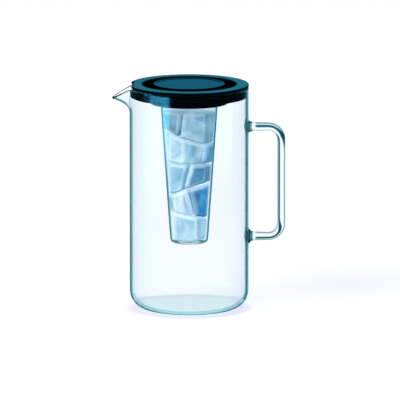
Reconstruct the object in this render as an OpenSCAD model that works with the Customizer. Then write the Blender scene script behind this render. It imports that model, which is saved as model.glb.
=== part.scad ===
// Glass jug with a tube of ice that hangs from its lid.
// Origin at the centre of the base, +Z up, spout towards -X, handle towards +X.

/* [Jug] */
// Outer diameter of the glass body
jug_d = 125; // [110:1:140]
// Height of the rim above the table
jug_h = 235; // [205:1:265]
// Thickness of the side wall
glass_t = 2.4; // [2:0.1:3]
// Thickness of the base
base_t = 3.2; // [2.6:0.1:5]
// Outer radius of the corner between wall and base
corner_r = 20; // [14:1:26]

/* [Spout] */
// How far the tip stands out from the wall
spout_reach = 17.5; // [13:0.5:21]
// How far the tip dips below the rim
spout_drop = 11.3; // [7:0.1:14]
// Depth below the rim at which the wall starts to bend out
spout_root = 27; // [22:1:36]
// Half of the angle that the spout takes out of the rim
spout_half_angle = 18; // [14:1:22]
// How sharply the sides draw in towards the tip
spout_pinch = 2.4; // [1.6:0.1:3.2]

/* [Handle] */
// From the wall to the centre line of the grip
handle_reach = 33.9; // [28:0.1:42]
// From the rim down to the centre line of the upper arm
handle_drop = 42; // [36:1:52]
// Between the centre lines of the two arms
handle_span = 116.5; // [95:0.5:135]
// Diameter of the rod at the grip
grip_d = 8.4; // [7:0.1:10.5]
// Diameter of the arms beside the welds
arm_d = 9.6; // [8:0.1:11.5]
// Radius of the bends, on the centre line
bend_r = 13.5; // [10:0.5:18]
// Diameter of the upper weld at the wall
upper_weld_d = 13.4; // [12:0.1:16]
// Diameter of the lower weld at the wall
lower_weld_d = 17; // [14:0.1:20]
// Length over which a weld draws in to the arm
weld_len = 5; // [3:0.5:8]
// How far the wall is pushed in behind a weld
weld_bulge = 2.5; // [1.5:0.1:3.5]
// Width of the pushed-in patch
weld_bulge_d = 18; // [14:1:24]

/* [Lid] */
// Thickness of the flange that lies over the rim
flange_t = 3; // [2.4:0.1:4]
// Width of the flange, from its edge to the finger recess
flange_w = 12.8; // [11.6:0.1:15]
// Depth of the skirt below the rim
skirt_depth = 10.4; // [8.5:0.1:13]
// Thickness of the skirt
skirt_t = 2.5; // [2.1:0.1:3]
// Thickness of the lid's other walls
lid_t = 2; // [1.6:0.1:2.4]
// Width of the finger recess between lid and cap
recess_w = 12.4; // [10.5:0.1:14.5]
// Depth of the finger recess below the top of the flange
recess_depth = 12.3; // [10:0.1:14]
// Depth of the collar's lower edge below the rim
collar_depth = 16.6; // [15:0.1:20]
// Width of the notch over the spout
notch_w = 31; // [24:1:36]
// Depth of the notch, from the edge of the flange
notch_depth = 4.2; // [2:0.1:5]
// How far the notch is let into the top of the skirt
notch_sink = 0.8; // [0.4:0.1:1.6]

/* [Lid seal] */
// Height of the ring in its groove
seal_h = 3.6; // [2.8:0.1:4.4]
// Depth of the groove in the skirt
seal_groove = 1.2; // [0.9:0.1:1.4]

/* [Ice tube] */
// Depth of the tube's bottom below the rim
tube_depth = 165; // [135:1:190]
// Thickness of the tube's wall
tube_t = 2; // [1.5:0.1:2.5]
// Slope of the wall, in degrees
tube_draft = 4.05; // [3:0.05:4.6]
// Radius of the tube's lower corner
tube_corner_r = 4; // [2:0.5:6]
// Thickness of the flange that hangs on the collar's ledge
tube_flange_t = 2; // [1.5:0.1:2.6]
// From the cap's side in to the tube's neck
neck_step = 7; // [6:0.1:9]

/* [Cap] */
// Thickness of the cap's top and walls
cap_t = 2.2; // [1.8:0.1:2.6]
// How far the cap stands above the flange
cap_proud = 0.4; // [0.2:0.1:1]
// Width of the raised edge on the cap
cap_edge_w = 2.6; // [2:0.1:4]
// Depth of the dish inside the raised edge
cap_dish = 0.5; // [0.2:0.1:0.8]
// How far the plug reaches into the tube
plug_depth = 4; // [3.6:0.1:4.2]
// Thickness of the O-ring
o_ring_d = 2.2; // [1.8:0.1:2.4]

/* [Ice] */
// Space left above the ice, under the plug
ice_headroom = 8; // [4:1:30]
// Gap between neighbouring blocks
ice_gap = 0.5; // [0.4:0.1:0.8]
// Radius of the blocks' melted edges
ice_edge_r = 3; // [2:0.25:4]

/* [Hidden] */
// Ice: how many blocks lie in each layer, from the bottom up
layer_blocks = [1, 2, 3, 3, 3];
ice_layers = len(layer_blocks);
ice_count = sum_to(layer_blocks, ice_layers);

$fn = 96;
ball_fn = 16;

// Clearances: faces that rest on each other, the skirt in the mouth, soft rings, moving walls
seat_gap = 0.3;
skirt_gap = 0.5;
seal_gap = 0.2;
slide_gap = 0.4;
// One overrun for every cut
over = 1;

// Jug
jug_r = jug_d / 2;
mouth_r = jug_r - glass_t;
rim_r = glass_t / 2;

// Spout: how deep its edges sit inside the wall's faces, and how far they run into the wall
spout_sink = 0.1;
spout_overlap_angle = 1.5;
spout_step_angle = 1.5;
spout_rows = 11;
spout_lip_steps = 4;
spout_knee_share = 0.64;
spout_below_share = 0.1;
angle_probe = 0.05;
row_probe = 0.01;

// Handle
upper_arm_z = jug_h - handle_drop;
lower_arm_z = upper_arm_z - handle_span;
grip_x = jug_r + handle_reach;
weld_steps = 8;

// Lid
edge_r = flange_t / 3;
flange_z0 = jug_h + seat_gap;
flange_z1 = flange_z0 + flange_t;
skirt_r = mouth_r - skirt_gap;
skirt_z = jug_h - skirt_depth;
recess_r = jug_r - flange_w;
recess_z = flange_z1 - recess_depth;
cap_r = recess_r - recess_w;
collar_wall = lid_t;
collar_step = 1.5;
collar_r = cap_r + collar_step;
collar_z = jug_h - collar_depth;
ledge_z = collar_z + lid_t;

// Lid seal, half way up the skirt
seal_z = (skirt_z + flange_z0 - seal_h) / 2;
groove_r = skirt_r - seal_groove;
seal_r = mouth_r - seal_gap;
seal_lip_share = 0.25;

// Ice tube
neck_r = cap_r - neck_step;
ledge_r = neck_r + slide_gap;
tube_flange_r = collar_r - slide_gap;
tube_flange_z0 = ledge_z + seat_gap;
tube_flange_z1 = tube_flange_z0 + tube_flange_t;
tube_z = jug_h - tube_depth;
tube_floor_z = tube_z + tube_t;
function tube_outer_r(z) = neck_r - (ledge_z - z) * tan(tube_draft);
function tube_inner_r(z) = tube_outer_r(z) - tube_t;

// Cap
cap_z0 = tube_flange_z1 + seat_gap;
cap_z1 = flange_z1 + cap_proud;
plug_z = tube_flange_z1 - plug_depth;
plug_r = tube_inner_r(plug_z) - slide_gap;
o_ring_z = plug_z + plug_depth / 2;
o_ring_r = tube_inner_r(o_ring_z - o_ring_d / 2) - seal_gap - o_ring_d / 2;

// Ice: the joint below each layer, and above the last one, falls by its tilt towards its turn. The upright
// joints in a layer start at its turn and lean towards +X. All in degrees.
ice_z0 = tube_floor_z + ice_gap / 2;
ice_layer_h = (plug_z - ice_headroom - ice_z0) / ice_layers;
joint_tilt = [0, 12, -22, 3, 20, 3];
joint_turn = [0, 20, -20, 50, -15, 60];
layer_turn = [28, 100, 20, 75, 128];
layer_lean = [0, -14, 14, 12, 8];

// Points of an arc around (x, z), from angle a0 to a1
function arc(x, z, r, a0, a1, steps = 6) =
    [for (i = [0 : steps]) let (a = a0 + (a1 - a0) * i / steps) [x + r * cos(a), z + r * sin(a)]];

function unit(v) = v / norm(v);
function sum_to(list, n) = n == 0 ? 0 : list[n - 1] + sum_to(list, n - 1);

// Share of the full reach and drop at an angle from the middle of the spout
function spout_bell(a) =
    abs(a) >= spout_half_angle ? 0 : pow(cos(90 * a / spout_half_angle), spout_pinch);

// Outer face of the spout: s is 0 at the root and 1 where the lip starts to round over
function spout_point(a, s) =
    let (
        root_z = jug_h - spout_root,
        lip_z = jug_h - rim_r - spout_drop * spout_bell(a),
        r = jug_r + spout_reach * spout_bell(a) * pow(max(s, 0), 2),
        z = root_z + (lip_z - root_z) * (2 * spout_knee_share * s * (1 - s) + s * s)
    )
    [-r * cos(a), r * sin(a), z];

function spout_up(a, s) = unit(spout_point(a, s + row_probe) - spout_point(a, s - row_probe));
function spout_across(a, s) = unit(spout_point(a + angle_probe, s) - spout_point(a - angle_probe, s));
function spout_out(a, s) = unit(cross(spout_up(a, s), spout_across(a, s)));

// One closed section through the spout's glass: up the outer face, over the lip, down the inner face
function spout_section(a) =
    let (
        half = rim_r - spout_sink,
        rows = [for (i = [0 : spout_rows]) -spout_below_share + (1 + spout_below_share) * i / spout_rows],
        n = spout_out(a, 1),
        u = spout_up(a, 1),
        lip_mid = spout_point(a, 1) - n * rim_r
    )
    concat(
        [for (s = rows) spout_point(a, s) - spout_out(a, s) * spout_sink],
        [for (i = [1 : spout_lip_steps - 1]) let (t = 180 * i / spout_lip_steps)
            lip_mid + (n * cos(t) + u * sin(t)) * half],
        [for (i = [spout_rows : -1 : 0])
            spout_point(a, rows[i]) - spout_out(a, rows[i]) * (glass_t - spout_sink)]
    );

module spout_glass() {
    reach_angle = spout_half_angle + spout_overlap_angle;
    columns = round(2 * reach_angle / spout_step_angle);
    sections = [for (i = [0 : columns]) spout_section(-reach_angle + 2 * reach_angle * i / columns)];
    n = len(sections[0]);
    sides = [for (i = [0 : columns - 1], j = [0 : n - 1])
        let (a = i * n + j, b = i * n + (j + 1) % n, c = a + n, d = b + n)
        each [[a, c, b], [b, c, d]]];
    polyhedron(
        points = [for (section = sections) each section],
        faces = concat(
            sides,
            [[for (j = [0 : n - 1]) j]],
            [[for (j = [n - 1 : -1 : 0]) columns * n + j]]
        )
    );
}

module jug_shell() {
    inner_corner_r = corner_r - glass_t;
    rotate_extrude()
        polygon(concat(
            [[0, 0]],
            arc(jug_r - corner_r, corner_r, corner_r, -90, 0, 12),
            arc(jug_r - rim_r, jug_h - rim_r, rim_r, 0, 180, 8),
            arc(mouth_r - inner_corner_r, base_t + inner_corner_r, inner_corner_r, 0, -90, 12),
            [[0, base_t]]
        ));
}

// Space that the spout takes out of the wall
module spout_window() {
    side = 2 * jug_r;
    translate([0, 0, jug_h - spout_root])
        linear_extrude(spout_root + over)
            polygon([
                [0, 0],
                [-side * cos(spout_half_angle), side * sin(spout_half_angle)],
                [-side * cos(spout_half_angle), -side * sin(spout_half_angle)]
            ]);
}

// The wall pushed in behind a weld: a slice of a ball, kept inside the wall's outer face
module weld_dimple(z) {
    ball_r = (pow(weld_bulge_d / 2, 2) + pow(weld_bulge, 2)) / (2 * weld_bulge);
    intersection() {
        translate([mouth_r - weld_bulge + ball_r, 0, z])
            sphere(r = ball_r);
        cylinder(r = jug_r - spout_sink, h = jug_h);
    }
}

module jug_body() {
    color([0.75, 0.88, 0.9, 0.35])
        union() {
            difference() {
                jug_shell();
                spout_window();
            }
            spout_glass();
            weld_dimple(upper_arm_z);
            weld_dimple(lower_arm_z);
        }
}

// Foot of an arm, drawn in from the weld's width to the arm's along a hollow curve
module weld_foot(z, foot_d) {
    translate([jug_r - glass_t / 2, 0, z])
        rotate([0, 90, 0])
            rotate_extrude()
                polygon(concat(
                    [[0, 0], [foot_d / 2, 0]],
                    [for (i = [0 : weld_steps]) let (s = i / weld_steps)
                        [arm_d / 2 + (foot_d - arm_d) / 2 * pow(1 - s, 2), glass_t / 2 + weld_len * s]],
                    [[0, glass_t / 2 + weld_len]]
                ));
}

module arm(z) {
    translate([jug_r - glass_t / 2, 0, z])
        rotate([0, 90, 0])
            cylinder(d1 = arm_d, d2 = grip_d, h = handle_reach + glass_t / 2 - bend_r);
}

// A quarter bend from an arm into the grip
module bend(z, up) {
    translate([grip_x - bend_r, 0, z - up * bend_r])
        rotate([90, 0, 0])
            rotate([0, 0, up > 0 ? 0 : -90])
                rotate_extrude(angle = 90)
                    translate([bend_r, 0])
                        circle(d = grip_d);
}

module handle() {
    color([0.7, 0.86, 0.9, 0.45])
        difference() {
            union() {
                weld_foot(upper_arm_z, upper_weld_d);
                weld_foot(lower_arm_z, lower_weld_d);
                arm(upper_arm_z);
                arm(lower_arm_z);
                bend(upper_arm_z, 1);
                bend(lower_arm_z, -1);
                translate([grip_x, 0, lower_arm_z + bend_r])
                    cylinder(d = grip_d, h = handle_span - 2 * bend_r);
            }
            cylinder(r = jug_r, h = jug_h);
        }
}

// Notch in the flange over the spout, with a round floor and straight sides
module notch() {
    difference() {
        translate([-jug_r - over, -notch_w / 2, flange_z0 - notch_sink])
            cube([jug_r, notch_w, notch_sink + flange_t + over]);
        cylinder(r = jug_r - notch_depth, h = flange_z1 + 2 * over);
    }
}

module lid() {
    color([0.05, 0.16, 0.2])
        difference() {
            rotate_extrude()
                polygon(concat(
                    arc(jug_r - edge_r, flange_z0 + edge_r, edge_r, -90, 0, 4),
                    arc(jug_r - edge_r, flange_z1 - edge_r, edge_r, 0, 90, 4),
                    arc(recess_r + edge_r, flange_z1 - edge_r, edge_r, 90, 180, 4),
                    arc(recess_r - edge_r, recess_z + edge_r, edge_r, 0, -90, 4),
                    [
                        [collar_r, recess_z],
                        [collar_r, ledge_z],
                        [ledge_r, ledge_z],
                        [ledge_r, collar_z],
                        [collar_r + collar_wall, collar_z],
                        [collar_r + collar_wall, recess_z - lid_t],
                        [recess_r + lid_t, recess_z - lid_t],
                        [recess_r + lid_t, flange_z0],
                        [skirt_r - skirt_t, flange_z0],
                        [skirt_r - skirt_t, skirt_z]
                    ],
                    arc(skirt_r - edge_r, skirt_z + edge_r, edge_r, -90, 0, 4),
                    [
                        [skirt_r, seal_z - slide_gap / 2],
                        [groove_r, seal_z - slide_gap / 2],
                        [groove_r, seal_z + seal_h + slide_gap / 2],
                        [skirt_r, seal_z + seal_h + slide_gap / 2],
                        [skirt_r, flange_z0]
                    ]
                ));
            notch();
        }
}

// Ring with two soft lips that bear on the glass
module lid_seal() {
    lip_r = seal_h * seal_lip_share;
    valley_r = (seal_r + skirt_r) / 2;
    color([0.03, 0.05, 0.06])
        rotate_extrude()
            polygon(concat(
                [[groove_r + seal_gap, seal_z]],
                arc(seal_r - lip_r, seal_z + lip_r, lip_r, -90, 50, 5),
                [[valley_r - lip_r / 2, seal_z + seal_h / 2]],
                arc(seal_r - lip_r, seal_z + seal_h - lip_r, lip_r, -50, 90, 5),
                [[groove_r + seal_gap, seal_z + seal_h]]
            ));
}

module core_tube() {
    foot_r = tube_outer_r(tube_z);
    inner_corner_r = max(tube_corner_r - tube_t, tube_t / 4);
    floor_r = tube_inner_r(tube_floor_z);
    color([0.68, 0.85, 0.92, 0.5])
        rotate_extrude()
            polygon(concat(
                [[0, tube_z]],
                arc(foot_r - tube_corner_r, tube_z + tube_corner_r, tube_corner_r, -90, -tube_draft, 5),
                [
                    [tube_outer_r(tube_flange_z0), tube_flange_z0],
                    [tube_flange_r, tube_flange_z0],
                    [tube_flange_r, tube_flange_z1],
                    [tube_inner_r(tube_flange_z1), tube_flange_z1]
                ],
                arc(floor_r - inner_corner_r, tube_floor_z + inner_corner_r, inner_corner_r,
                    -tube_draft, -90, 4),
                [[0, tube_floor_z]]
            ));
}

module cap() {
    dish_r = cap_r - cap_edge_w;
    groove_out = o_ring_r - o_ring_d / 2;
    color([0.1, 0.38, 0.46])
        rotate_extrude()
            polygon(concat(
                [[0, cap_z1 - cap_dish], [dish_r - cap_dish, cap_z1 - cap_dish], [dish_r, cap_z1]],
                arc(cap_r - edge_r, cap_z1 - edge_r, edge_r, 90, 0, 5),
                [
                    [cap_r, cap_z0],
                    [cap_r - cap_t, cap_z0],
                    [cap_r - cap_t, cap_z1 - cap_t],
                    [plug_r, cap_z1 - cap_t],
                    [plug_r, o_ring_z + o_ring_d / 2],
                    [groove_out, o_ring_z + o_ring_d / 2],
                    [groove_out, o_ring_z - o_ring_d / 2],
                    [plug_r, o_ring_z - o_ring_d / 2],
                    [plug_r, plug_z],
                    [plug_r - 2 * cap_t, plug_z],
                    [plug_r - 2 * cap_t, cap_z1 - cap_t],
                    [0, cap_z1 - cap_t]
                ]
            ));
}

module cap_seal() {
    color([0.03, 0.05, 0.06])
        translate([0, 0, o_ring_z])
            rotate_extrude()
                translate([o_ring_r, 0])
                    circle(d = o_ring_d, $fn = 32);
}

// Layer that holds block number i, counted from the bottom
function ice_layer(i, layer = 0) =
    i <= sum_to(layer_blocks, layer + 1) ? layer : ice_layer(i, layer + 1);

// A flat face: its outward direction, and how far out along that it lies
function face(out, point) = [unit(out), unit(out) * point];
function flip(face) = [-face[0], -face[1]];
function inset(face, depth) = [face[0], face[1] - depth];

// Point where three faces meet
function corner(a, b, c) =
    (a[1] * cross(b[0], c[0]) + b[1] * cross(c[0], a[0]) + c[1] * cross(a[0], b[0]))
        / (a[0] * cross(b[0], c[0]));

// Joint below a layer, seen from the ice under it
function level_joint(layer) =
    let (tilt = joint_tilt[layer], turn = joint_turn[layer])
    face([sin(tilt) * cos(turn), sin(tilt) * sin(turn), cos(tilt)], [0, 0, ice_z0 + layer * ice_layer_h]);

// Upright joint at an angle around the axis, seen from the block before it
function upright_joint(layer, a) =
    let (up = [sin(layer_lean[layer]), 0, cos(layer_lean[layer])])
    face(cross(up, [cos(a), sin(a), 0]), [0, 0, ice_z0 + (layer + 0.5) * ice_layer_h]);

// Flat side of a block against the tube, between two angles around the axis
function wall_side(a0, a1) =
    let (middle = (a0 + a1) / 2, flat = cos((a1 - a0) / 2), r = tube_inner_r(ice_z0) * flat)
    face([cos(middle), sin(middle), -tan(tube_draft) * flat], [r * cos(middle), r * sin(middle), ice_z0]);

// The four sides of a block in order: alone in its layer, one of a pair, or one of three or more
function block_sides(layer, place) =
    let (
        blocks = layer_blocks[layer],
        span = 360 / blocks,
        start = layer_turn[layer] + span * place,
        walls = max(5 - blocks, 2),
        joint_inset = ice_gap / 2 + ice_edge_r,
        before = inset(flip(upright_joint(layer, start)), joint_inset),
        after = inset(upright_joint(layer, start + span), joint_inset),
        outer = [for (i = [0 : walls - 1])
            inset(wall_side(start + span * i / walls, start + span * (i + 1) / walls), ice_gap + ice_edge_r)]
    )
    blocks == 1 ? outer : blocks == 2 ? concat([before], outer) : concat([before], outer, [after]);

// A block of ice with melted edges, between its joints and the tube
module ice_cube(i) {
    layer = ice_layer(i);
    sides = block_sides(layer, i - sum_to(layer_blocks, layer) - 1);
    joint_inset = ice_gap / 2 + ice_edge_r;
    ends = [inset(flip(level_joint(layer)), joint_inset), inset(level_joint(layer + 1), joint_inset)];
    color([0.8, 0.9, 0.97, 0.7])
        hull()
            for (j = [0 : len(sides) - 1], end = ends)
                translate(corner(sides[j], sides[(j + 1) % len(sides)], end))
                    sphere(r = ice_edge_r, $fn = ball_fn);
}

jug_body();
handle();
lid();
lid_seal();
core_tube();
cap();
cap_seal();
for (i = [1 : ice_count])
    ice_cube(i);
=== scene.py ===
"""Glass pitcher with an ice tube in its lid: looks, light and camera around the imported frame."""

import math

import bmesh
import bpy
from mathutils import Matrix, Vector, noise


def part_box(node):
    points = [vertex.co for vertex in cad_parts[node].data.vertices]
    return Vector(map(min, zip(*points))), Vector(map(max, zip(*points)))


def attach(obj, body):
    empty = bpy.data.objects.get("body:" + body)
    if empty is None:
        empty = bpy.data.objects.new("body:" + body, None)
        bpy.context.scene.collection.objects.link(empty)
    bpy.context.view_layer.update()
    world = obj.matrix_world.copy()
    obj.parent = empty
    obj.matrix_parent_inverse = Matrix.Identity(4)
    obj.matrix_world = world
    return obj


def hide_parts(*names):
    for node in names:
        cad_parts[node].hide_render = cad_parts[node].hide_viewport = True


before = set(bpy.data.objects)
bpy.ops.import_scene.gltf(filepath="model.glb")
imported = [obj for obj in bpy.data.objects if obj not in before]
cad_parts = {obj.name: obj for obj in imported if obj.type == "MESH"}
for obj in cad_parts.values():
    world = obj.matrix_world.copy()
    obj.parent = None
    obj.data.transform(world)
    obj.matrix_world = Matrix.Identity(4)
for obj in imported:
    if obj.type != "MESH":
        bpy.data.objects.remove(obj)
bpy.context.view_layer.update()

MM = 0.001
HAIR = 0.05 * MM  # keeps touching faces out of one another

# Sizes that the frame gives
JUG_LOW, JUG_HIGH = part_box("jug_body")
_, HANDLE_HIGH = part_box("handle")
TUBE_LOW, TUBE_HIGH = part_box("core_tube")
JUG_R = JUG_HIGH.y
RIM_Z = JUG_HIGH.z

# Glass body, as built
GLASS_T = 2.4 * MM
BASE_T = 3.2 * MM
CORNER_R = 20 * MM
MOUTH_R = JUG_R - GLASS_T
LIP_R = GLASS_T / 2
SPOUT_DROP = 11.3 * MM
SPOUT_REACH = 17.5 * MM
SPOUT_ROOT_Z = RIM_Z - 27 * MM
SPOUT_HALF_ANGLE = 18
SPOUT_PINCH = 2.4  # the higher, the narrower its tip
SPOUT_KNEE = 0.64  # height of the knee in its curve, as a share of the wall above the root

# Handle, as built
GRIP_D = 8.4 * MM
ARM_D = 9.6 * MM
BEND_R = 13.5 * MM
UPPER_FOOT_D = 13.4 * MM
LOWER_FOOT_D = 17 * MM
FOOT_LEN = 5 * MM
GRIP_X = HANDLE_HIGH.x - GRIP_D / 2
UPPER_ARM_Z = RIM_Z - 42 * MM
LOWER_ARM_Z = UPPER_ARM_Z - 116.5 * MM
DIMPLE = 2.5 * MM
DIMPLE_R = 9 * MM

# Ice tube, as built
NECK_R = 30.3 * MM
LEDGE_Z = 220.4 * MM
TUBE_T = 2 * MM
TUBE_DRAFT = 4.05  # degrees
TUBE_CORNER_R = 4 * MM
TUBE_FLANGE_T = 2 * MM

# Rows of the glass body's mesh: its foot, straight wall, spout and lip
FOOT_ROWS, WALL_ROWS, SPOUT_ROWS, LIP_STEPS = 14, 48, 20, 10
LIP_START = FOOT_ROWS + WALL_ROWS + SPOUT_ROWS
LIP_ROWS = range(LIP_START + 1, LIP_START + LIP_STEPS)

# Outline of the glass body, a painted reflection of a dark room: above 0 it is held back, below 0 it is brought on
# sooner
SPOUT_LINING, WALL_LINING, HANDLE_SIDE_LINING = 0.4, -0.25, -0.6
SPOUT_START, SPOUT_FULL = -1 * MM, 4 * MM  # outside the round wall
HANDLE_SIDE_START, HANDLE_SIDE_FULL = 0.7, 0.9  # of the radius, towards the handle

# How dark the lines of painted shade on the glass are, 0 to 1, and where they lie: at the lip, round the weld
# dimples and on the handle's feet
LIP_PAINTED_SHADE, WELD_PAINTED_SHADE, FOOT_PAINTED_SHADE = 0.7, 0.2, 0.62
WELD_RING, WELD_RING_WIDTH = 0.62, 0.24  # in dimple radii
FOOT_PAINTED_SHADE_FULL, FOOT_PAINTED_SHADE_END = 0.4 * MM, 1.4 * MM  # outside the round wall

# Painted light: a pale band on the tube's wall over the space above the ice, lightening where the lid shades the ice
# tops
PAINTED_BAND = 0.35
PAINTED_BAND_START_Z, PAINTED_BAND_FULL_Z = 206 * MM, 212 * MM


def share(value, start, end):
    """How far a value has come from start, 0, to end, 1."""
    return min(max((value - start) / (end - start), 0), 1)


def between(start, end, part):
    """The value that lies a part of the way from start, 0, to end, 1."""
    return start + (end - start) * part


# Mesh tools

def smooth_faces(piece):
    piece.data.polygons.foreach_set("use_smooth", [True] * len(piece.data.polygons))


def make_object(name, verts, faces):
    """Smooth piece with its faces turned outwards."""
    mesh = bpy.data.meshes.new(name)
    mesh.from_pydata([tuple(v) for v in verts], [], faces)
    mesh.validate()
    solid = bmesh.new()
    solid.from_mesh(mesh)
    bmesh.ops.recalc_face_normals(solid, faces=solid.faces)
    solid.to_mesh(mesh)
    solid.free()
    mesh.update()
    piece = bpy.data.objects.new(name, mesh)
    bpy.context.scene.collection.objects.link(piece)
    smooth_faces(piece)
    return piece


def sharpen(piece, angle=35):
    """Keeps the edges sharper than the angle crisp, and the rest smooth."""
    piece.data.set_sharp_from_angle(angle=math.radians(angle))
    return piece


def write(piece, name, values):
    """Gives each vertex a number, for the material to read."""
    piece.data.attributes.new(name, "FLOAT", "POINT").data.foreach_set("value", values)


def arc(x, z, r, start, end, steps):
    """Points of an arc in the (radius, height) plane, angles in degrees."""
    angles = [math.radians(start + (end - start) * i / steps) for i in range(steps + 1)]
    return [(x + r * math.cos(a), z + r * math.sin(a)) for a in angles]


def lathe(name, profile, steps=192):
    """Closed solid of revolution about Z, from a profile that starts and ends on the axis."""
    verts, rings = [], []
    for r, z in profile:
        if r == 0:
            rings.append([len(verts)] * steps)
            verts.append((0, 0, z))
        else:
            rings.append([len(verts) + i for i in range(steps)])
            verts += [(r * math.cos(2 * math.pi * i / steps), r * math.sin(2 * math.pi * i / steps), z)
                      for i in range(steps)]
    faces = []
    for low, high in zip(rings, rings[1:]):
        for i in range(steps):
            j = (i + 1) % steps
            corners = (low[i], low[j], high[j], high[i])
            faces.append(tuple(dict.fromkeys(corners)))
    return make_object(name, verts, faces)


# Shader trees

class Tree:
    """The nodes of a material or a world. Each input takes a number, a colour as (r, g, b), or what another node
    gives."""

    def __init__(self, owner):
        owner.use_nodes = True
        self.nodes, self.links = owner.node_tree.nodes, owner.node_tree.links
        self.nodes.clear()

    def wire(self, node, inputs):
        """Sets or links the inputs of a node, each by its name or number."""
        for name, value in inputs.items():
            socket = node.inputs[name]
            if isinstance(value, bpy.types.NodeSocket):
                self.links.new(value, socket)
            else:
                socket.default_value = (*value, 1) if isinstance(value, tuple) else value
        return node

    def add(self, kind, inputs=None, output=0):
        return self.wire(self.nodes.new(kind), inputs or {}).outputs[output]

    def math(self, operation, *values, clamp=False):
        node = self.nodes.new("ShaderNodeMath")
        node.operation = operation
        node.use_clamp = clamp
        return self.wire(node, dict(enumerate(values))).outputs[0]

    def span(self, value, start, end, low=0, high=1):
        """Low where the value is start or before it, high where it is end or past it."""
        return self.add("ShaderNodeMapRange", {
            0: value, "From Min": start, "From Max": end, "To Min": low, "To Max": high})

    def ramp(self, value, stops):
        """Colour at a value, from (position, colour) stops."""
        node = self.wire(self.nodes.new("ShaderNodeValToRGB"), {0: value})
        elements = node.color_ramp.elements
        while len(elements) < len(stops):
            elements.new(0.5)
        for element, (position, colour) in zip(elements, stops):
            element.position = position
            element.color = (*colour, 1)
        return node.outputs[0]

    def blend(self, factor, first, second, kind="MIX"):
        """First colour where the factor is 0, second where it is 1."""
        node = self.nodes.new("ShaderNodeMix")
        node.data_type = "RGBA"
        node.blend_type = kind
        return self.wire(node, {"Factor": factor, "A": first, "B": second}).outputs["Result"]

    def mix(self, factor, first, second):
        return self.add("ShaderNodeMixShader", {0: factor, 1: first, 2: second})

    def attribute(self, name):
        node = self.nodes.new("ShaderNodeAttribute")
        node.attribute_name = name
        return node.outputs["Fac"]

    def place(self):
        return self.add("ShaderNodeTexCoord", output="Object")

    def up(self):
        """1 where the surface faces up, -1 where it faces down."""
        return self.add("ShaderNodeSeparateXYZ", {0: self.add("ShaderNodeTexCoord", output="Normal")}, output="Z")

    def noise(self, scale, detail=2, distortion=0):
        return self.add("ShaderNodeTexNoise", {
            "Vector": self.place(), "Scale": scale, "Detail": detail, "Distortion": distortion})

    def bump(self, height, strength, distance):
        return self.add("ShaderNodeBump", {"Height": height, "Strength": strength, "Distance": distance})

    def fresnel(self, ior):
        return self.add("ShaderNodeFresnel", {"IOR": ior})

    def surface(self, shader, kind="ShaderNodeOutputMaterial"):
        self.wire(self.nodes.new(kind), {"Surface": shader})


def let_light_through(tree, shader, shade):
    """The surface is seen as it is, but lamps and what lights dull surfaces shine through it, so that glass throws
    only a faint shadow and no bright patches."""
    path = tree.nodes.new("ShaderNodeLightPath")
    through = tree.math("MAXIMUM", path.outputs["Is Shadow Ray"], path.outputs["Is Diffuse Ray"])
    tree.surface(tree.mix(through, shader, tree.add("ShaderNodeBsdfTransparent", {"Color": shade})))


# Materials

# Clear pieces: how much less inner faces and level floors count as turned, and where a face is a level floor
LINING_CALM = 0.28
FLOOR_TURN = 0.5
FLOOR_START, FLOOR_FULL = 0.5, 0.95

# Clear pieces: where the lines of painted shading are light and deep, and how far a surface turns before its
# outline, a painted reflection of a dark room, is drawn
PAINTED_SHADING_LIGHT, PAINTED_SHADING_DEEP = 0.75, 1.0
OUTLINE_START, OUTLINE_FULL = 0.6, 0.72
TRAPPED_OUTLINE = 0.75

ALL_MIRRORED = 0.99  # Fresnel share that is only reached inside the wall
NO_BEND = 1.001  # refractive index

# Ice: how much its clouds lighten and darken it
CLOUD_GAIN, CLOUD_SHIFT = 1.5, -0.78


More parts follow.
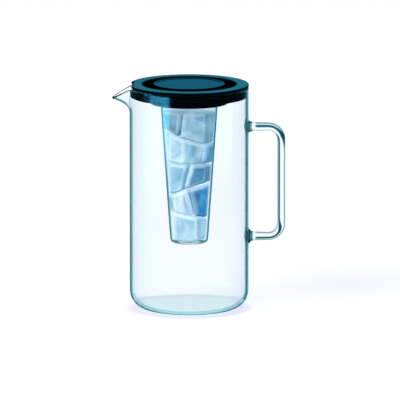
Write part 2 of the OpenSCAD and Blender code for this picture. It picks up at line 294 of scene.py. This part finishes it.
def clear_material(name, tint, mirror, trapped, ior, roughness, shade, painted_shading, floor=None, filled=False):
    """Clear glass or plastic, with an outline drawn by colours that change as its surface turns away: a painted
    reflection and refraction of a dark room, which the white room round it doesn't give.

    tint, mirror: colours of what is seen through it and mirrored in it, from 0, seen flat on, to 1, seen edge on.
    Their dark
        colours are the painted reflection. The mesh's "lining" attribute, 1 on inner faces, holds the change back;
        below 0 it brings it on sooner. Level floors count as half as far turned.
    trapped: colour of what is mirrored inside the wall.
    shade: colour of the light that it lets through.
    painted_shading: light and deep colour that the mesh's "painted_shading" attribute lays on, as dark lines of
    painted
        shade or a pale band of painted light; where that attribute is below 0, they are drawn on the outline only.
    floor: tint of level floors, and colour of what they mirror.
    filled: the inner faces bend no light, as where water lies against them."""
    material = bpy.data.materials.new(name)
    tree = Tree(material)
    facing = tree.add("ShaderNodeLayerWeight", {"Blend": 0.5}, output="Facing")
    up, lining, lines = tree.up(), tree.attribute("lining"), tree.attribute("painted_shading")

    calm = tree.math("MULTIPLY_ADD", lining, -LINING_CALM, 1)
    level = tree.span(up, FLOOR_START, FLOOR_FULL, 1, FLOOR_TURN)
    turned = tree.math("MULTIPLY", facing, tree.math("MULTIPLY", calm, level))

    bent = tree.span(lining, 0, 1, ior, NO_BEND) if filled else ior
    inside = tree.math("GREATER_THAN", tree.fresnel(bent), ALL_MIRRORED)
    mirrored_share = tree.math("MAXIMUM", tree.fresnel(ior if filled else 1 + (ior - 1) / 3), inside)

    # Painted shade and light: the colours of the painted_shading attribute, dark lines on the glass and a pale band
    # on the tube
    painted_colour = tree.ramp(lines, [(PAINTED_SHADING_LIGHT, painted_shading[0]), (PAINTED_SHADING_DEEP, painted_shading[1])])
    # Painted reflection: a dark outline drawn as the surface turns edge on, and where light is trapped inside the
    # wall
    edge_on = tree.span(facing, OUTLINE_START, OUTLINE_FULL)
    turning = tree.math("MULTIPLY_ADD", inside, TRAPPED_OUTLINE, edge_on, clamp=True)
    outline = tree.math("MULTIPLY", tree.span(lines, 0, -1), turning)
    cover = tree.math("MAXIMUM", tree.span(lines, 0, PAINTED_SHADING_LIGHT), outline)

    passed = tree.blend(cover, tree.ramp(turned, tint), painted_colour)
    mirrored = tree.blend(cover, tree.blend(inside, tree.ramp(turned, mirror), trapped), painted_colour)
    if floor:
        flat = tree.span(up, FLOOR_START, FLOOR_FULL)
        passed = tree.blend(flat, passed, floor[0], "MULTIPLY")
        mirrored = tree.blend(flat, mirrored, floor[1])

    glass = tree.mix(
        mirrored_share,
        tree.add("ShaderNodeBsdfRefraction", {"Color": passed, "IOR": bent, "Roughness": roughness}),
        tree.add("ShaderNodeBsdfGlossy", {"Color": mirrored, "Roughness": 0.1}))
    let_light_through(tree, glass, shade)
    return material


def moulded_material(name, base, painted_sheen, satin, polish, side_painted_sheen=0.12):
    """Black moulded plastic: satin on top, polished on its upright faces, with a painted reflection of a blue sky
    where it turns away, weaker on the upright faces."""
    material = bpy.data.materials.new(name)
    tree = Tree(material)
    up, cloud = tree.up(), tree.noise(30)
    lighter, dimmer = tuple(1.5 * c for c in base), tuple(0.9 * c for c in painted_sheen)
    grain = tree.bump(tree.noise(1400), 0.12, 0.05 * MM)
    pigment = tree.add("ShaderNodeBsdfPrincipled", {
        "Base Color": tree.ramp(cloud, [(0.35, base), (0.65, lighter)]),
        "Specular IOR Level": 0, "Roughness": 0.6, "Normal": grain})
    gloss = tree.add("ShaderNodeBsdfGlossy", {
        "Color": tree.ramp(cloud, [(0.3, dimmer), (0.7, painted_sheen)]),
        "Roughness": tree.span(up, 0.2, 0.8, polish, satin), "Normal": grain})
    # Painted reflection: the gloss mirrors the white room as sky blue, and mirrors less on upright faces
    painted_sheen_share = tree.math("MULTIPLY", tree.fresnel(1.25), tree.span(up, 0.6, 0.95, side_painted_sheen, 1))
    tree.surface(tree.mix(painted_sheen_share, pigment, gloss))
    return material


def ice_material(name):
    """Cloudy ice: the mesh's "tone" attribute runs from deep blue, 0, to milky, 1, with painted shading in it, and
    its
    "edge" attribute is a painted highlight that whitens the melted edges facing a painted light and the upper faces,
    and makes them glow."""
    material = bpy.data.materials.new(name)
    tree = Tree(material)
    edge, cloud = tree.attribute("edge"), tree.noise(45, 3, 0.8)
    cloudy = tree.math("ADD", tree.math("MULTIPLY_ADD", cloud, CLOUD_GAIN, CLOUD_SHIFT), tree.attribute("tone"))
    colour = tree.ramp(cloudy, [(0.0, (0.02, 0.22, 0.42)), (0.3, (0.14, 0.39, 0.52)), (0.55, (0.3, 0.54, 0.63)),
                                (0.8, (0.6, 0.78, 0.82)), (1.0, (0.94, 0.98, 0.97))])
    surface = tree.add("ShaderNodeBsdfPrincipled", {
        "Base Color": tree.blend(edge, colour, (0.95, 0.98, 0.99)),
        "Transmission Weight": tree.span(cloud, 0.35, 0.65, 0.7, 0.45),
        "IOR": 1.15, "Specular IOR Level": 0.3, "Roughness": 0.3,
        # Painted glow: the painted highlight also glows, though the ice is no lamp
        "Emission Color": (0.85, 0.95, 1), "Emission Strength": tree.math("MULTIPLY", edge, 0.2),
        "Normal": tree.bump(tree.noise(160, 3), 0.2, 0.3 * MM)})
    let_light_through(tree, surface, (0.85, 0.92, 0.96))
    return material


def dress(piece, material, body, slot, *nodes):
    """Gives a piece its material, and lets it ride its body in the place of the CAD nodes."""
    piece.data.materials.clear()
    piece.data.materials.append(material)
    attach(piece, body)
    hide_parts(*nodes)
    return piece


# Jug

def bell(angle):
    """Share of the spout's full reach at an angle from its middle, in degrees."""
    if abs(angle) >= SPOUT_HALF_ANGLE:
        return 0.0
    return math.cos(math.radians(90 * angle / SPOUT_HALF_ANGLE)) ** SPOUT_PINCH


def wall_point(angle, s):
    """Outer face between the spout's root, s = 0, and the start of the lip, s = 1."""
    lip = RIM_Z - LIP_R - SPOUT_DROP * bell(angle)
    r = JUG_R + SPOUT_REACH * bell(angle) * s * s
    z = SPOUT_ROOT_Z + (lip - SPOUT_ROOT_Z) * (2 * SPOUT_KNEE * s * (1 - s) + s * s)
    a = math.radians(angle)
    return Vector((-r * math.cos(a), r * math.sin(a), z))


def wall_frame(angle, s, step=0.01, turn=0.05):
    """Point, outward normal and upward direction on the outer face, from points a step or a turn away."""
    up = (wall_point(angle, s + step) - wall_point(angle, s - step)).normalized()
    across = (wall_point(angle + turn, s) - wall_point(angle - turn, s)).normalized()
    return wall_point(angle, s), up.cross(across).normalized(), up


def weld_distances(x, y, z):
    """How far a point of the wall is from each weld's middle, in dimple radii."""
    return [math.hypot(y, z - arm_z) / DIMPLE_R for arm_z in (UPPER_ARM_Z, LOWER_ARM_Z) if x > 0]


def dimple(x, y, z):
    """How far the wall is pushed in behind a weld."""
    return sum(DIMPLE * (1 - d * d) ** 2 for d in weld_distances(x, y, z) if d < 1)


def weld_shadow(x, y, z):
    """Painted shade on the inner face round a weld, 0 to 1: a dark ring on the slope of the dimple."""
    return max([WELD_PAINTED_SHADE * math.exp(-((d - WELD_RING) / WELD_RING_WIDTH) ** 2) for d in weld_distances(x, y, z)],
               default=0.0)


def jug_column(angle):
    """Points of one column of the glass, from the middle of the foot, up, over the rim and down inside."""
    a = math.radians(angle)
    radial, upward = Vector((-math.cos(a), math.sin(a), 0)), Vector((0, 0, 1))
    points = [radial * r + upward * z for r, z in arc(JUG_R - CORNER_R, CORNER_R, CORNER_R, -90, 0, FOOT_ROWS)]
    points += [radial * JUG_R + upward * (CORNER_R + (SPOUT_ROOT_Z - CORNER_R) * i / WALL_ROWS)
               for i in range(1, WALL_ROWS)]
    frames = [wall_frame(angle, i / SPOUT_ROWS) for i in range(SPOUT_ROWS + 1)]
    points += [p for p, n, u in frames]
    p, n, u = frames[-1]
    middle = p - n * LIP_R
    for i in range(1, LIP_STEPS):
        t = math.pi * i / LIP_STEPS
        points.append(middle + (n * math.cos(t) + u * math.sin(t)) * LIP_R)
    points += [p - n * GLASS_T for p, n, u in reversed(frames)]
    inner_r = CORNER_R - GLASS_T
    corner_z = BASE_T + inner_r
    for i in range(1, WALL_ROWS):
        z = SPOUT_ROOT_Z + (corner_z - SPOUT_ROOT_Z) * i / WALL_ROWS
        wall = radial * MOUTH_R
        points.append(radial * (MOUTH_R - dimple(wall.x, wall.y, z)) + upward * z)
    points += [radial * r + upward * z for r, z in arc(MOUTH_R - inner_r, corner_z, inner_r, 0, -90, FOOT_ROWS)]
    return points


def jug_angles():
    """Columns every 2 degrees, closer in the spout, at 0, and behind the welds, at 180."""
    spout = [i * 0.6 for i in range(-30, 31)]
    side = list(range(SPOUT_HALF_ANGLE + 2, 174, 2))
    welds = list(range(174, 186))
    return spout + side + welds + [360 - a for a in reversed(side)]


def make_jug():
    """The glass body. Its outline, a painted reflection, is drawn sooner on the wall than on the spout, and soonest
    beside the handle.
    The lip and the dimples behind the welds are drawn as lines of painted shade."""
    columns = [jug_column(a) for a in jug_angles()]
    count, rows = len(columns), len(columns[0])
    verts = [v for column in columns for v in column]
    for v in verts:
        v.x = max(v.x, JUG_LOW.x + HAIR)
    low, high = len(verts), len(verts) + 1
    verts += [(0, 0, 0), (0, 0, BASE_T)]
    faces = []
    for i in range(count):
        j = (i + 1) % count
        faces.append((low, j * rows, i * rows))
        faces.append((high, i * rows + rows - 1, j * rows + rows - 1))
        for k in range(rows - 1):
            faces.append((i * rows + k, j * rows + k, j * rows + k + 1, i * rows + k + 1))
    piece = make_object("jug_glass", verts, faces)
    lining, lines = [], []
    for v in piece.data.vertices:
        x, y, z = v.co
        inner = math.hypot(x, y) < JUG_R - GLASS_T / 2 and z > BASE_T / 2
        reach = share(-x - JUG_R, SPOUT_START, SPOUT_FULL)
        handle_side = share(x / JUG_R, HANDLE_SIDE_START, HANDLE_SIDE_FULL)
        outer_lining = between(WALL_LINING, HANDLE_SIDE_LINING, handle_side)
        lining.append(1 if inner else between(outer_lining, SPOUT_LINING, reach))
        # Painted shade: a dark ring round each weld and a dark line along the lip
        dark = weld_shadow(x, y, z) if inner else 0
        if v.index % rows in LIP_ROWS:
            dark = max(dark, LIP_PAINTED_SHADE)
        lines.append(dark or -reach)
    write(piece, "lining", lining)
    write(piece, "painted_shading", lines)
    return piece


# Ice tube

def tube_r(z):
    """Outer radius of the tapered wall at a height."""
    return NECK_R - (LEDGE_Z - z) * math.tan(math.radians(TUBE_DRAFT))


def make_tube(rows=24):
    """The tube with its hanging flange; "lining" is 1 on the inner faces, and "painted_shading" paints a pale band
    of light on the wall over the space above the ice, where the lid shades the ice tops."""
    floor_z = TUBE_LOW.z + TUBE_T
    floor_r = tube_r(floor_z) - TUBE_T
    flange_r, low, high = TUBE_HIGH.y, TUBE_HIGH.z - TUBE_FLANGE_T, TUBE_HIGH.z
    outer = [(0, TUBE_LOW.z)]
    outer += arc(tube_r(TUBE_LOW.z) - TUBE_CORNER_R, TUBE_LOW.z + TUBE_CORNER_R, TUBE_CORNER_R, -90, -TUBE_DRAFT, 10)
    rise = outer[-1][1]
    outer += [(tube_r(z), z) for z in (rise + (low - rise) * i / rows for i in range(1, rows + 1))]
    outer += [(flange_r, low), (flange_r, high)]
    inner = [(tube_r(z) - TUBE_T, z) for z in (high + (floor_z + TUBE_T - high) * i / rows for i in range(rows))]
    inner += arc(floor_r - TUBE_T, floor_z + TUBE_T, TUBE_T, -TUBE_DRAFT, -90, 8)
    inner += [(0, floor_z)]
    piece = lathe("tube_shell", outer + inner)
    lining, painted_band = [], []
    for v in piece.data.vertices:
        x, y, z = v.co
        inside = z > floor_z - HAIR and math.hypot(x, y) < tube_r(z) - TUBE_T / 2
        lining.append(float(inside))
        # Painted light: the pale band above the ice
        painted_band.append(0 if inside or z >= low else PAINTED_BAND * share(z, PAINTED_BAND_START_Z, PAINTED_BAND_FULL_Z))
    write(piece, "lining", lining)
    write(piece, "painted_shading", painted_band)
    return sharpen(piece)


# Handle

def handle_path():
    """Centre line from the upper weld round the grip to the lower weld, as (point, radius), with its points
    closer at the feet."""
    turn = GRIP_X - BEND_R
    arm_steps, bend_steps, grip_steps = 26, 15, 30
    crowding = 1.6
    path = []
    for z, foot, side in ((UPPER_ARM_Z, UPPER_FOOT_D, 1), (LOWER_ARM_Z, LOWER_FOOT_D, -1)):
        arm = []
        for i in range(arm_steps + 1):
            along = (i / arm_steps) ** crowding
            x = between(JUG_R, turn, along)
            flare = max(0.0, 1 - (x - JUG_R) / FOOT_LEN)
            arm.append((Vector((x, 0, z)), (between(ARM_D, GRIP_D, along) + (foot - ARM_D) * flare ** 2) / 2))
        bend = []
        for i in range(1, bend_steps):
            t = math.pi / 2 * i / bend_steps
            point = Vector((turn + BEND_R * math.sin(t), 0, z - side * BEND_R * (1 - math.cos(t))))
            bend.append((point, GRIP_D / 2))
        path.append(arm + bend)
    upper, lower = path
    top, bottom = UPPER_ARM_Z - BEND_R, LOWER_ARM_Z + BEND_R
    grip = [(Vector((GRIP_X, 0, top + (bottom - top) * i / grip_steps)), GRIP_D / 2) for i in range(grip_steps + 1)]
    return upper + grip + lower[::-1]


def painted_shading(place, outward, front):
    """Painted shade on the rod, 0 to 1: dark lines that stand in for the dark room that the thick glass refracts.
    place runs along it from 0 to 1. outward is 1 on the outside of the C and -1 on its inside. front is 1 on the
    side with the spout to its left and 0 on the other."""

    def line(centre, half):
        return math.exp(-((outward - centre) / half) ** 6)

    def ease(start, end):
        t = share(place, start, end)
        return t * t * (3 - 2 * t)

    # Places along the rod: the end of the weld, the upper bend and the lower bend
    weld, bend_in, bend_out, low_in, low_out = 0.03, 0.16, 0.28, 0.72, 0.84

    # The upper arm's line goes outwards in the bend, and ends there
    leaving = ease(bend_in, bend_out)
    swell = 0.3 * (1 - abs(2 * leaving - 1))
    upper = line(0.24 + 0.62 * leaving, 0.32 + swell) * (0.84 + 0.4 * swell)
    upper *= front * (1 - ease(bend_out - 0.03, bend_out + 0.06))

    # The grip's line starts on the inside of the upper bend, and crosses to the outside in the lower one
    entering = ease(bend_in, bend_out - 0.02)
    crossing = ease(low_in, low_out)
    swell = 0.2 * (1 - abs(2 * crossing - 1))
    inner = line(-1.05 + 0.54 * entering + 0.77 * crossing, 0.27 + swell) * (0.76 + 0.12 * crossing + 0.6 * swell)
    inner *= front * ease(bend_in, bend_in + 0.04)

    outer_edge = 0.55 * line(1, 0.34)
    low_inner_edge = 0.5 * line(-1, 0.3) * crossing
    ends = min(ease(weld, weld + 0.02), 1 - ease(1 - weld - 0.02, 1 - weld))
    return max(upper, inner, outer_edge, low_inner_edge) * ends


def make_handle(segments=96):
    """The bent rod, from one weld to the other, with painted dark lines that stand in for the dark room that glass
    this thick refracts.
    """
    path = handle_path()
    last = len(path) - 1
    lengths = [0]
    for (before, _), (after, _) in zip(path, path[1:]):
        lengths.append(lengths[-1] + (after - before).length)
    verts, faces, dark = [], [], []
    side = Vector((0, 1, 0))
    for i, (point, r) in enumerate(path):
        along = (path[min(i + 1, last)][0] - path[max(i - 1, 0)][0]).normalized()
        inward = side.cross(along).normalized()
        for k in range(segments):
            t = 2 * math.pi * k / segments
            v = point + (side * math.cos(t) + inward * math.sin(t)) * r
            wall = math.sqrt(max(JUG_R ** 2 - v.y ** 2, 0)) + HAIR
            v.x = wall if i in (0, last) else max(v.x, wall + HAIR)
            verts.append(v)
            # Painted shade: the rod's dark lines, and its feet darkened where they meet the wall
            front = share(-math.cos(t), -0.2, 0.2)
            foot = 1 - share(v.x - JUG_R, FOOT_PAINTED_SHADE_FULL, FOOT_PAINTED_SHADE_END)
            dark.append(max(painted_shading(lengths[i] / lengths[-1], -math.sin(t), front), FOOT_PAINTED_SHADE * foot))
    for i in range(last):
        for k in range(segments):
            m = (k + 1) % segments
            faces.append((i * segments + k, i * segments + m, (i + 1) * segments + m, (i + 1) * segments + k))
    for ring in (0, last):
        middle = len(verts)
        verts.append((JUG_R + HAIR, 0, path[ring][0].z))
        dark.append(0)
        for k in range(segments):
            faces.append((middle, ring * segments + k, ring * segments + (k + 1) % segments))
    piece = make_object("handle_glass", verts, faces)
    write(piece, "painted_shading", dark)
    return piece


# Ice

# Own tone of each block, from deep blue, 0, to milky, 1, in the order of the CAD's numbers
ICE_TONES = (0.75, 0.75, 0.15, 0.6, 0.62, 0.5, 0.8, 0.85, 0.45, 0.6, 0.72, 0.65)
# Painted light: the direction of a light painted into the ice, making faces towards it lighter and faces away
# darker, and whitening edges and tops
PAINTED_ICE_LIGHT = Vector((-0.35, -0.1, 0.93))
PAINTED_TONE_SPREAD = 0.3
PAINTED_EDGE_HIGHLIGHT, PAINTED_TOP_LIGHT = 0.85, 0.9

ICE_EDGE_R = 3 * MM
ICE_VOXEL = 0.8 * MM
ICE_MELT = 0.5 * MM
ICE_WAVES = 70  # per metre


def mark_ice(piece, tone, soft):
    """Writes two attributes: "edge", a painted highlight up to 1 on the upper face and where the surface turns
    sharply outwards and faces the painted light, and "tone", the block's own tone with painted shading, made lighter
    on top and darker below."""
    mesh = piece.data
    bend = [0.0] * len(mesh.vertices)
    for e in mesh.edges:
        a, b = (mesh.vertices[i] for i in e.vertices)
        span = b.co - a.co
        turn = (b.normal - a.normal).dot(span) / span.length_squared
        bend[a.index] = max(bend[a.index], turn)
        bend[b.index] = max(bend[b.index], turn)
    edge = []
    for turn, v in zip(bend, mesh.vertices):
        # Painted highlight on edges that face the painted light, and painted light on upper faces
        lit = share(v.normal.dot(PAINTED_ICE_LIGHT), -0.5, 0.75)
        rim = PAINTED_EDGE_HIGHLIGHT * share(turn / soft, 0.45, 1) ** 1.5 * lit
        edge.append(max(rim, PAINTED_TOP_LIGHT * share(v.normal.z, 0.6, 0.9)))
    write(piece, "edge", edge)
    # Painted shading: each block's tone lighter towards the painted light, darker away from it
    write(piece, "tone", [tone + PAINTED_TONE_SPREAD * v.normal.dot(PAINTED_ICE_LIGHT) for v in mesh.vertices])


def make_ice(index):
    """A melted block in the place of its CAD node, its skin wavy."""
    piece = bpy.data.objects.new(f"ice_block_{index}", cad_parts[f"ice_cube_{index}"].data.copy())
    bpy.context.scene.collection.objects.link(piece)
    remesh = piece.modifiers.new("even", "REMESH")
    remesh.mode = "VOXEL"
    remesh.voxel_size = ICE_VOXEL
    smooth = piece.modifiers.new("soft", "SMOOTH")
    smooth.factor = 0.5
    smooth.iterations = 3
    depsgraph = bpy.context.evaluated_depsgraph_get()
    piece.data = bpy.data.meshes.new_from_object(piece.evaluated_get(depsgraph))
    piece.modifiers.clear()
    mark_ice(piece, ICE_TONES[index - 1], soft=0.4 / ICE_EDGE_R)
    own_waves = Vector((index * 7.1, 0, 0))  # so that no two blocks are alike
    for v in piece.data.vertices:
        wobble = noise.noise(v.co * ICE_WAVES + own_waves)
        v.co -= v.normal * (0.5 + 0.5 * wobble) * ICE_MELT
    smooth_faces(piece)
    return piece


# Everything that is drawn

# Painted reflection: the sky blues that the black plastic's gloss mirrors in place of the white room
PAINTED_SKY, DIM_PAINTED_SKY = (0.05, 0.5, 0.72), (0.022, 0.34, 0.56)
BLACK, RUBBER = (0.0006, 0.0008, 0.0012), (0.001, 0.0012, 0.0015)

# Painted reflection: the dark colours in each tint and mirror ramp stand in for a dark room round the glass; the
# painted_shading colours are painted shade
jug_glass = clear_material(
    "jug_glass",
    tint=[(0.0, (0.98, 0.99, 0.994)), (0.43, (0.955, 0.983, 0.985)), (0.6, (0.93, 0.98, 0.985)),
          (0.7, (0.95, 0.995, 1.0)), (0.75, (0.88, 0.96, 0.97)), (0.785, (0.45, 0.64, 0.67)),
          (0.83, (0.09, 0.27, 0.31)), (0.91, (0.05, 0.18, 0.22)), (0.97, (0.5, 0.7, 0.74))],
    mirror=[(0.0, (0.01, 0.06, 0.1)), (0.5, (0.02, 0.07, 0.1)), (0.7, (0.05, 0.14, 0.18)),
            (0.82, (0.09, 0.28, 0.33)), (0.91, (0.06, 0.19, 0.23)), (0.98, (0.6, 0.78, 0.82))],
    trapped=(0.5, 0.85, 0.86), ior=1.47, roughness=0.0, shade=(0.93, 0.955, 0.97),
    painted_shading=((0.03, 0.2, 0.24), (0.0, 0.05, 0.06)), floor=((0.985, 1.0, 0.965), (0.62, 0.7, 0.66)))
handle_glass = clear_material(
    "handle_glass",
    tint=[(0.0, (0.995, 1.0, 1.0)), (0.25, (0.95, 0.99, 0.99)), (0.45, (0.62, 0.78, 0.8)),
          (0.75, (0.15, 0.4, 0.44))],
    mirror=[(0.0, (0.3, 0.34, 0.35)), (0.5, (0.36, 0.52, 0.55)), (0.8, (0.08, 0.28, 0.32))],
    trapped=(0.35, 0.8, 0.84), ior=1.47, roughness=0.0, shade=(0.88, 0.91, 0.95),
    painted_shading=((0.01, 0.19, 0.22), (0.0, 0.02, 0.035)))
# Painted light: the tube's painted_shading colours are its pale band above the ice
tube_plastic = clear_material(
    "tube_plastic",
    tint=[(0.0, (0.985, 0.992, 0.995)), (0.6, (0.96, 0.985, 0.99)), (0.7, (0.7, 0.88, 0.91)),
          (0.78, (0.05, 0.34, 0.4))],
    mirror=[(0.0, (0.6, 0.4, 0.5)), (0.2, (0.25, 0.42, 0.48)), (0.6, (0.1, 0.38, 0.44)),
            (0.85, (0.02, 0.26, 0.32))],
    trapped=(0.8, 0.9, 0.93), ior=1.12, roughness=0.02, shade=(0.9, 0.94, 0.97),
    painted_shading=((0.45, 0.7, 0.8), (0.3, 0.55, 0.65)), filled=True)
lid_black = moulded_material("lid_black", BLACK, PAINTED_SKY, 0.22, 0.06)
cap_black = moulded_material("cap_black", BLACK, DIM_PAINTED_SKY, 0.2, 0.1)
rubber_black = moulded_material("rubber_black", RUBBER, PAINTED_SKY, 0.3, 0.12)
ice_look = ice_material("ice_look")

jug = dress(make_jug(), jug_glass, "jug", "jug_glass", "jug_body")
tube = dress(make_tube(), tube_plastic, "core", "tube_plastic", "core_tube")
dress(make_handle(), handle_glass, "jug", "handle_glass", "handle")
ice = [dress(make_ice(index), ice_look, "core", "ice", f"ice_cube_{index}") for index in range(1, 13)]
for node, material, slot in (("lid", lid_black, "lid_plastic"), ("cap", cap_black, "cap_plastic"),
                             ("lid_seal", rubber_black, "seal_rubber"), ("cap_seal", rubber_black, "seal_rubber")):
    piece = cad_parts[node]
    piece.data.materials.clear()
    piece.data.materials.append(material)
    smooth_faces(piece)
    sharpen(piece)


# Stage, light and camera

def make_world():
    """Seen, mirrored or through glass, the room is white; what it lights gets a softer, cooler light."""
    world = bpy.data.worlds.new("studio")
    bpy.context.scene.world = world
    tree = Tree(world)
    path = tree.nodes.new("ShaderNodeLightPath")
    seen = tree.math("MAXIMUM", path.outputs["Is Camera Ray"], path.outputs["Is Glossy Ray"])
    either = tree.math("MAXIMUM", seen, path.outputs["Is Transmission Ray"])
    soft = tree.add("ShaderNodeBackground", {"Color": (0.9, 0.95, 1), "Strength": 0.55})
    white = tree.add("ShaderNodeBackground", {"Color": (1, 1, 1)})
    tree.surface(tree.mix(either, soft, white), "ShaderNodeOutputWorld")


def make_floor(half=30):
    """Pale floor that reads as white, brighter far off, and darkens only near the object: by the shadow that it
    casts, and by a painted contact shadow in its glow, from ambient occlusion.
    """
    floor = make_object("floor", [(-half, -half, 0), (half, -half, 0), (half, half, 0), (-half, half, 0)],
                        [(0, 1, 2, 3)])
    floor.location.z = -0.2 * MM
    material = bpy.data.materials.new("floor_paper")
    tree = Tree(material)
    near = tree.nodes.new("ShaderNodeAmbientOcclusion")
    near.samples = 16
    tree.wire(near, {"Distance": 12 * MM})
    far = tree.nodes.new("ShaderNodeVectorMath")
    far.operation = "LENGTH"
    tree.wire(far, {0: tree.place()})
    # Painted contact shadow: the glow darkens where ambient occlusion finds the object near, tinted cyan where fully
    # hidden
    painted_contact_shadow = tree.ramp(near.outputs["AO"], [(0.0, (0.84, 0.95, 0.96)), (0.35, (0.55, 0.62, 0.68)),
                                            (0.9, (0.87, 0.82, 0.9)), (1.0, (1, 1, 1))])
    glow = tree.add("ShaderNodeEmission", {
        "Color": painted_contact_shadow, "Strength": tree.span(far.outputs["Value"], 0.25, 1.6, 0.53, 0.64)})
    paper = tree.add("ShaderNodeBsdfDiffuse", {"Color": (0.62, 0.6, 0.68)})
    tree.surface(tree.add("ShaderNodeAddShader", {0: paper, 1: glow}))
    floor.data.materials.append(material)


def aim(thing, place, target):
    thing.location = place
    thing.rotation_euler = (Vector(target) - Vector(place)).to_track_quat("-Z", "Y").to_euler()
    bpy.context.scene.collection.objects.link(thing)


def make_lamp(name, place, target, size, power, colour=(1, 1, 1), only_for=None):
    """Soft rectangular lamp, for every piece or for some of them only."""
    data = bpy.data.lights.new(name, "AREA")
    data.shape = "RECTANGLE"
    data.size, data.size_y = size
    data.energy = power
    data.color = colour
    lamp = bpy.data.objects.new(name, data)
    aim(lamp, place, target)
    lamp.visible_camera = False
    lamp.visible_transmission = False
    if only_for:
        group = bpy.data.collections.new(name + "_receivers")
        for piece in only_for:
            group.objects.link(piece)
        lamp.light_linking.receiver_collection = group


def make_camera():
    """Long lens, 10 degrees above level, framed as the photograph is."""
    elevation = math.radians(10)
    distance = 12.0
    frame_width = 0.41948
    target = Vector((0.01133, 0, 0.1147))
    data = bpy.data.cameras.new("camera")
    data.sensor_width = 36
    data.lens = data.sensor_width * distance / frame_width
    data.clip_start, data.clip_end = 0.1, 100
    camera = bpy.data.objects.new("camera", data)
    aim(camera, target + distance * Vector((0, -math.cos(elevation), math.sin(elevation))), target)
    bpy.context.scene.camera = camera


make_world()
make_floor()
make_lamp("key", (-1.2, -1.0, 1.6), (0, 0, 0.12), (0.9, 0.9), 22)
make_lamp("fill", (1.6, -0.8, 0.9), (0, 0, 0.12), (1.0, 1.0), 8, (0.92, 0.96, 1))
make_lamp("window", (-0.638, -0.396, 0.095), (-0.03, -0.051, 0.095), (0.59, 0.07), 78, (0.6, 0.87, 1.0),
          only_for=[jug, tube])
make_lamp("ice_fill", (-0.5, -1.1, 0.45), (0, 0, 0.16), (1.0, 0.6), 6, (0.9, 0.96, 1), only_for=ice)
make_camera()

scene = bpy.context.scene
scene.view_settings.view_transform = "Standard"
scene.cycles.max_bounces = 40
scene.cycles.transmission_bounces = 40
scene.cycles.glossy_bounces = 16
scene.cycles.transparent_max_bounces = 32
